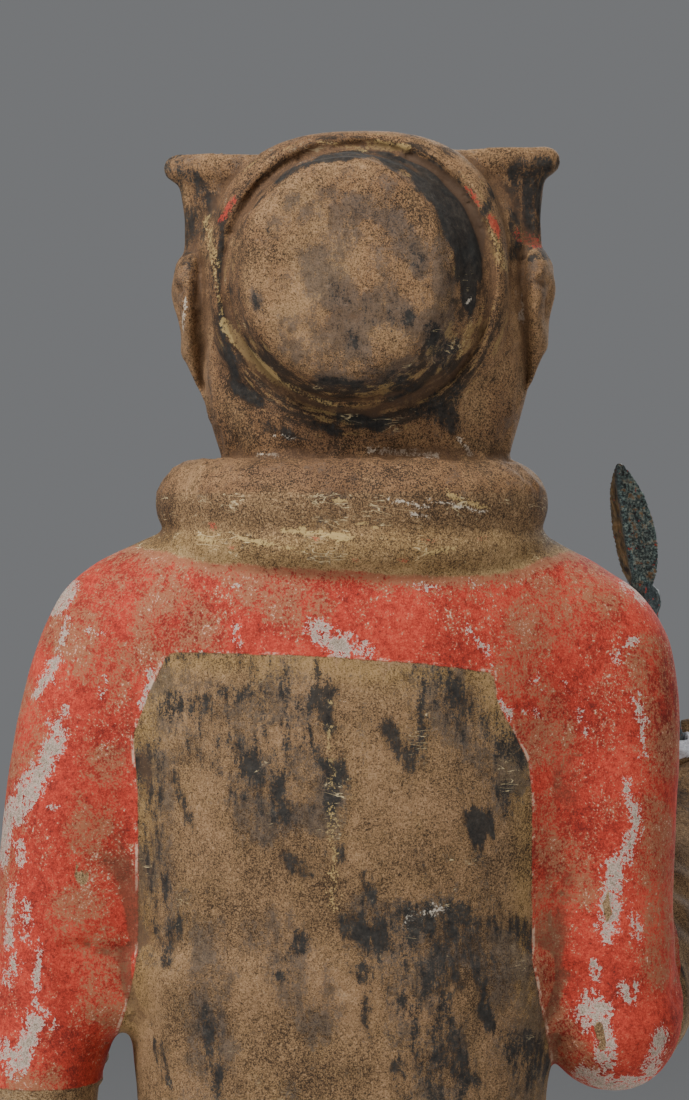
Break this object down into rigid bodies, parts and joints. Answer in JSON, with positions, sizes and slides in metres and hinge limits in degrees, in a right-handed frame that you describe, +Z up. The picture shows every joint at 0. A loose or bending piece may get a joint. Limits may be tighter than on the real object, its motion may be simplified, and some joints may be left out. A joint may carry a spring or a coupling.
{
  "type": "standing warrior statue",
  "caption": "Painted fired-clay warrior standing on a low slab, in a winged cap, rolled scarf and belted robe, with a small socketed bronze spearhead packed into the raised right fist.",
  "frame": {"origin": "centre of the underside of the base slab, on the surface it stands on", "axes": "+Z up; the figure faces -Y; its own left hand is on +X"},
  "size_m": [0.1948, 0.1605, 0.5984],
  "materials": {
    "fired_clay": "matt, worn paint",
    "patinated_bronze": "dull green patina",
    "packing": "matt"
  },
  "bodies": {
    "root": {"warrior": "fired_clay", "bronze_spearhead": "patinated_bronze", "white_packing": "packing"}
  },
  "joints": []
}
